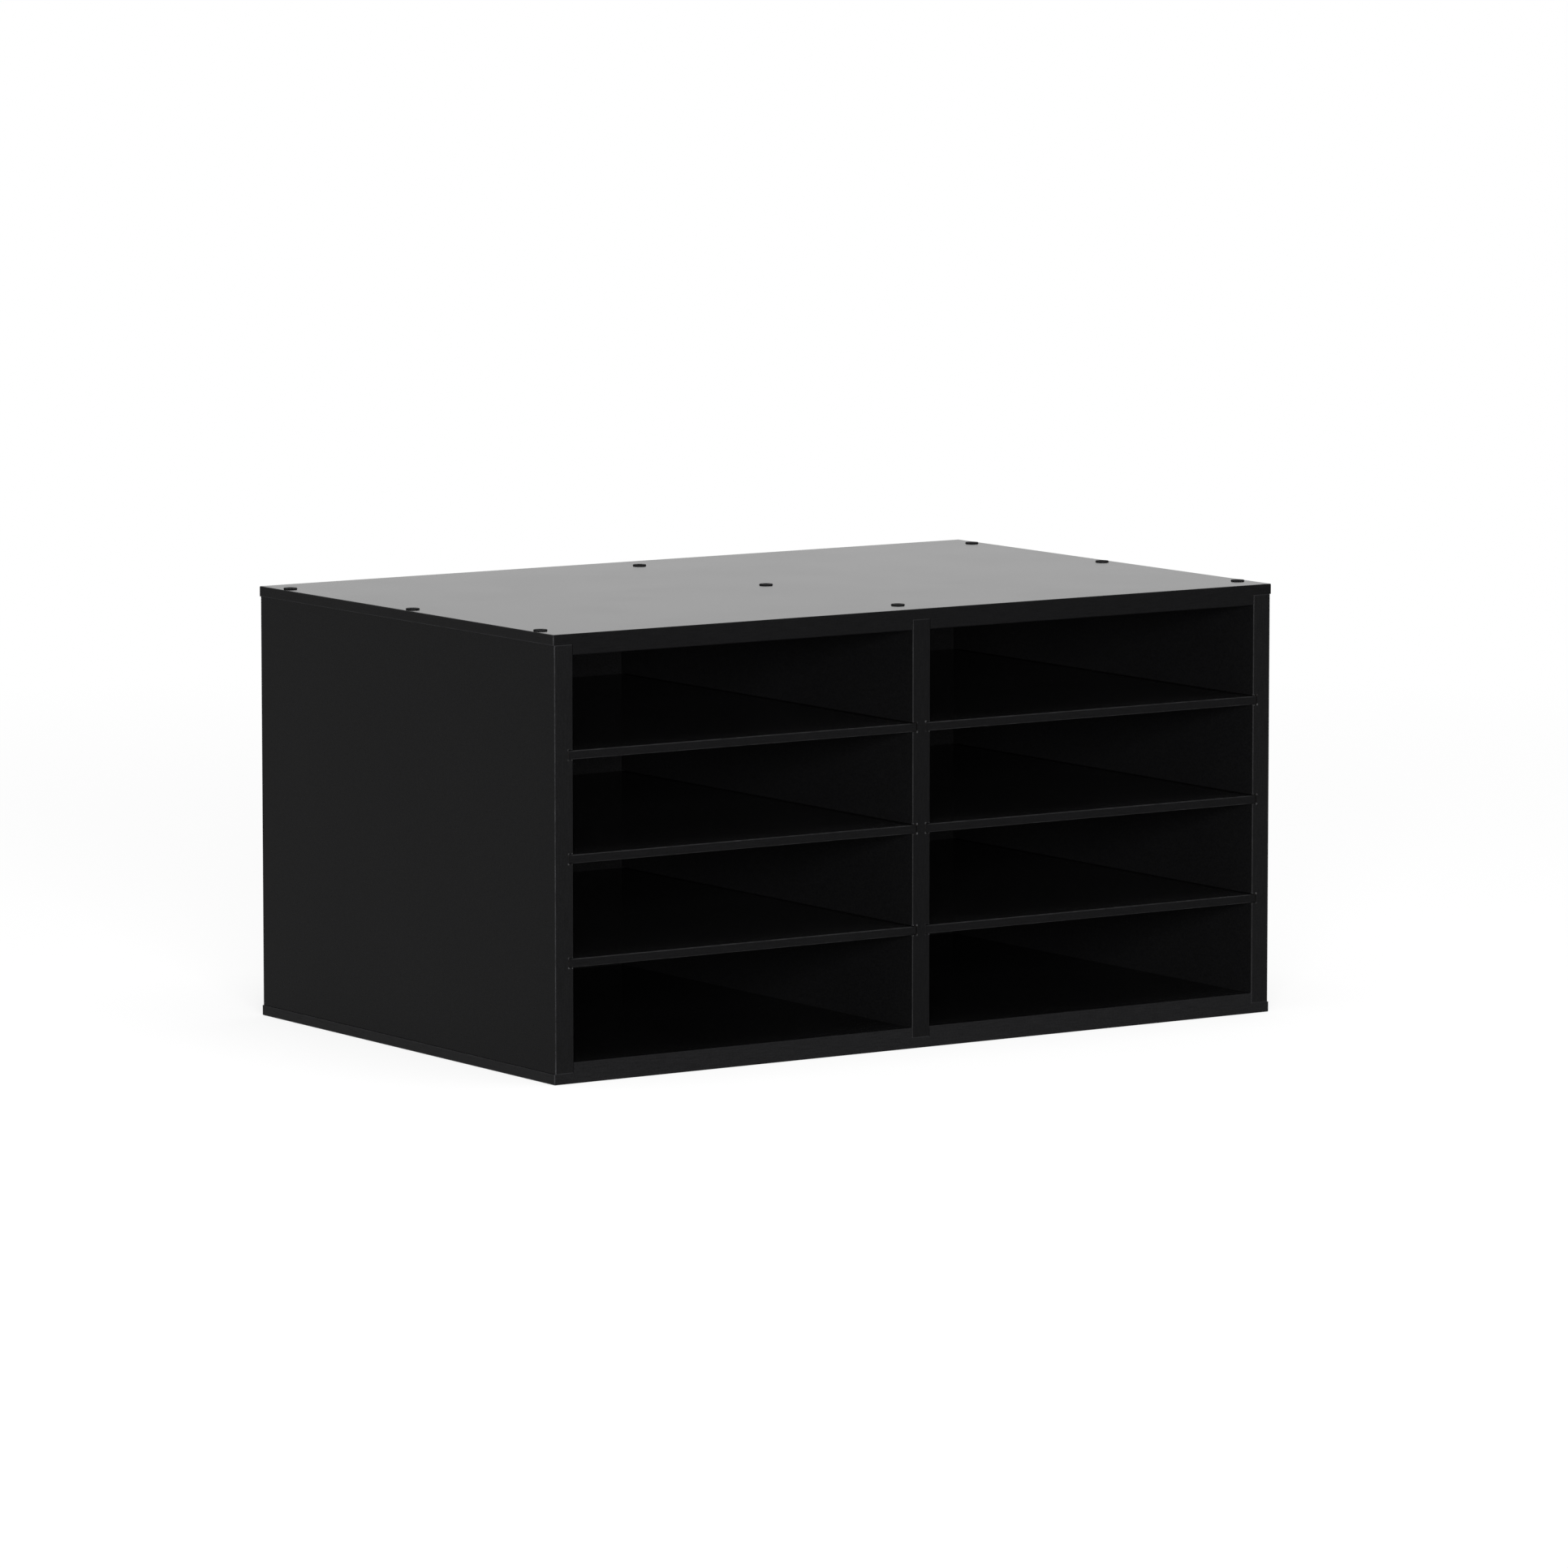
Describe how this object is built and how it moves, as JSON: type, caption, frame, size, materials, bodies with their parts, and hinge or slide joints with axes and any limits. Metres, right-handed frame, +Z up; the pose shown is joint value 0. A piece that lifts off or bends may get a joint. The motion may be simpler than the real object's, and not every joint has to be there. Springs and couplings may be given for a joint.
{
  "type": "desktop literature sorter",
  "caption": "Open-fronted desktop sorter for envelopes and papers: a black laminated case with a centre divider, a thin back and loose shelves that slide in grooves.",
  "frame": {"origin": "centre of the footprint, on the surface that the sorter stands on", "axes": "+X to the right along the long side, -Y towards the user and the open front, +Z up"},
  "size_m": [0.5, 0.32, 0.254],
  "materials": {
    "laminate": "black melamine-faced particle board, satin with a very fine texture",
    "edge_band": "black plastic edge banding, satin",
    "shelf_board": "black faced fibreboard, satin",
    "back_board": "black lacquered hardboard, semi-gloss",
    "screw": "black-finished steel"
  },
  "bodies": {
    "case": {"back_panel": "back_board", "bottom_centre_screws": "screw", "bottom_front_band": "edge_band", "bottom_left_band": "edge_band", "bottom_left_screws": "screw", "bottom_panel": "laminate", "bottom_rear_band": "edge_band", "bottom_right_band": "edge_band", "bottom_right_screws": "screw", "centre_divider": "laminate", "divider_front_band": "edge_band", "left_side": "laminate", "left_side_front_band": "edge_band", "left_side_rear_band": "edge_band", "right_side": "laminate", "right_side_front_band": "edge_band", "right_side_rear_band": "edge_band", "top_centre_screws": "screw", "top_front_band": "edge_band", "top_left_band": "edge_band", "top_left_screws": "screw", "top_panel": "laminate", "top_rear_band": "edge_band", "top_right_band": "edge_band", "top_right_screws": "screw"},
    "left_shelf_1_board": {"left_shelf_1": "shelf_board"},
    "left_shelf_2_board": {"left_shelf_2": "shelf_board"},
    "left_shelf_3_board": {"left_shelf_3": "shelf_board"},
    "right_shelf_1_board": {"right_shelf_1": "shelf_board"},
    "right_shelf_2_board": {"right_shelf_2": "shelf_board"},
    "right_shelf_3_board": {"right_shelf_3": "shelf_board"}
  },
  "joints": [
    {"name": "left_shelf_1_slide", "type": "slide", "parent": "case", "child": "left_shelf_1_board", "axis": [0, -1, 0], "range_m": [0, 0.275]},
    {"name": "left_shelf_2_slide", "type": "slide", "parent": "case", "child": "left_shelf_2_board", "axis": [0, -1, 0], "range_m": [0, 0.275]},
    {"name": "left_shelf_3_slide", "type": "slide", "parent": "case", "child": "left_shelf_3_board", "axis": [0, -1, 0], "range_m": [0, 0.275]},
    {"name": "right_shelf_1_slide", "type": "slide", "parent": "case", "child": "right_shelf_1_board", "axis": [0, -1, 0], "range_m": [0, 0.275]},
    {"name": "right_shelf_2_slide", "type": "slide", "parent": "case", "child": "right_shelf_2_board", "axis": [0, -1, 0], "range_m": [0, 0.275]},
    {"name": "right_shelf_3_slide", "type": "slide", "parent": "case", "child": "right_shelf_3_board", "axis": [0, -1, 0], "range_m": [0, 0.275]}
  ]
}
